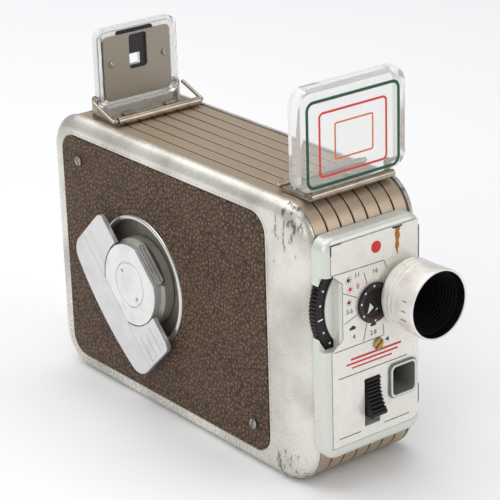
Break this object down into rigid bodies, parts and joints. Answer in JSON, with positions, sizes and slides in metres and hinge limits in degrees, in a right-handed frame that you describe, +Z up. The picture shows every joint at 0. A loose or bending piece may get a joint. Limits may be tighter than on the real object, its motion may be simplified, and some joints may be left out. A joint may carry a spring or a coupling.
{
  "type": "cine camera",
  "caption": "Clockwork cine camera: rounded flat body with a grooved centre band, folding winding key, open-frame fold-down sights, stubby lens and a hinged film door.",
  "frame": {"origin": "centre of the flat base, on its underside", "axes": "+Z up; the lens faces -Y; the winding key is on the -X side and the film door on the +X side"},
  "size_m": [0.0655, 0.198, 0.1554],
  "materials": {
    "paint": "satin",
    "taupe": "metallic satin",
    "leatherette": "pebbled matte",
    "cast": "satin",
    "aluminium": "satin",
    "nickel": "polished",
    "steel": "satin",
    "black": "matte",
    "brass": "polished",
    "clear": "gloss",
    "glass": "gloss",
    "grey": "satin"
  },
  "bodies": {
    "chassis": {"band": "taupe", "case_winding_side": "paint", "hide_winding_side": "leatherette", "case_screw_top": "steel", "case_screw_low": "steel", "hinge_body_leaf": "nickel", "hinge_pin": "steel", "front_casting": "cast", "face_plate": "aluminium", "panel_screw": "brass", "lens_barrel": "aluminium", "lens_baffle": "black", "lens_glass": "glass", "finder_tunnel": "grey", "finder_glass": "glass", "front_sight_base": "nickel", "front_sight_rod": "nickel", "rear_sight_base": "nickel", "front_sight_screw_a": "steel", "front_sight_screw_b": "steel", "rear_sight_screw_a": "steel", "rear_sight_screw_b": "steel", "mechanism_plate": "steel", "feed_spindle": "steel", "takeup_spindle": "steel", "film_gate": "steel", "pressure_plate": "steel", "tripod_bush": "steel"},
    "winder": {"winding_hub": "aluminium", "key_catch": "nickel"},
    "key": {"winding_key": "aluminium", "key_pin_a": "steel", "key_pin_b": "steel"},
    "barrel": {"spring_barrel": "brass"},
    "idler": {"idler_gear": "brass"},
    "release": {"release_button": "black"},
    "aperture": {"aperture_dial": "black"},
    "footage": {"footage_ring": "black"},
    "front_sight": {"front_sight_frame": "clear", "front_sight_pin_a": "steel", "front_sight_pin_b": "steel"},
    "rear_sight": {"rear_sight_frame": "clear", "rear_sight_plate": "grey", "rear_sight_mask": "black", "sight_rivet_a": "aluminium", "sight_rivet_b": "aluminium", "rear_sight_pin_a": "steel", "rear_sight_pin_b": "steel"},
    "sight_wire": {"rear_sight_wire": "nickel"},
    "door": {"film_door": "paint", "hide_film_side": "leatherette", "hinge_door_leaf": "nickel"},
    "latch": {"door_latch": "aluminium"},
    "feed": {"feed_spool": "black"},
    "takeup": {"takeup_spool": "black"},
    "shutter": {"shutter_disc": "black"},
    "claw": {"claw": "steel"}
  },
  "joints": [
    {"name": "key_wind", "type": "hinge", "parent": "chassis", "child": "winder", "pos_m": [-0.03, 0.022, 0.0548], "axis": [1, 0, 0], "continuous": true},
    {"name": "key_fold", "type": "hinge", "parent": "winder", "child": "key", "pos_m": [-0.0332, 0.0207, 0.05605], "axis": [0, 0.694, 0.72], "range_deg": [0, 90]},
    {"name": "barrel_turn", "type": "hinge", "parent": "chassis", "child": "barrel", "pos_m": [-0.015, 0.022, 0.0548], "axis": [1, 0, 0], "continuous": true},
    {"name": "idler_turn", "type": "hinge", "parent": "chassis", "child": "idler", "pos_m": [-0.009, -0.013, 0.0548], "axis": [1, 0, 0], "continuous": true},
    {"name": "release_press", "type": "slide", "parent": "chassis", "child": "release", "axis": [0, 0, -1], "range_m": [0, 0.0038], "stiffness_N_per_m": 150},
    {"name": "aperture_turn", "type": "hinge", "parent": "chassis", "child": "aperture", "pos_m": [-0.0025, -0.09, 0.0738], "axis": [0, 1, 0], "range_deg": [-70, 70]},
    {"name": "footage_turn", "type": "hinge", "parent": "chassis", "child": "footage", "pos_m": [-0.0036, -0.084, 0.0745], "axis": [0, 1, 0], "continuous": true},
    {"name": "front_sight_fold", "type": "hinge", "parent": "chassis", "child": "front_sight", "pos_m": [0.0013, -0.0715, 0.1186], "axis": [-1, 0, 0], "range_deg": [0, 90]},
    {"name": "rear_sight_fold", "type": "hinge", "parent": "chassis", "child": "rear_sight", "pos_m": [0.0005, 0.061, 0.12], "axis": [1, 0, 0], "range_deg": [0, 90]},
    {"name": "sight_wire_swing", "type": "hinge", "parent": "chassis", "child": "sight_wire", "pos_m": [0.0005, 0.0453, 0.1146], "axis": [1, 0, 0], "range_deg": [-19, 0]},
    {"name": "door_swing", "type": "hinge", "parent": "chassis", "child": "door", "pos_m": [0.0246, 0.0864, 0.056], "axis": [0, 0, 1], "range_deg": [0, 110]},
    {"name": "latch_turn", "type": "hinge", "parent": "door", "child": "latch", "pos_m": [0.027, -0.034, 0.0564], "axis": [1, 0, 0], "range_deg": [0, 90]},
    {"name": "feed_turn", "type": "hinge", "parent": "chassis", "child": "feed", "pos_m": [0.012, 0.038, 0.083], "axis": [1, 0, 0], "continuous": true},
    {"name": "takeup_turn", "type": "hinge", "parent": "chassis", "child": "takeup", "pos_m": [0.012, 0.038, 0.0297], "axis": [1, 0, 0], "continuous": true},
    {"name": "shutter_turn", "type": "hinge", "parent": "chassis", "child": "shutter", "pos_m": [0.008, -0.064, 0.066], "axis": [0, 1, 0], "continuous": true},
    {"name": "claw_stroke", "type": "slide", "parent": "chassis", "child": "claw", "axis": [0, 0, 1], "range_m": [-0.0019, 0.0019]}
  ],
  "couplings": [
    {"joint": "idler_turn", "follows": "barrel_turn", "ratio": -2.5263},
    {"joint": "sight_wire_swing", "follows": "rear_sight_fold", "ratio": -0.2}
  ]
}
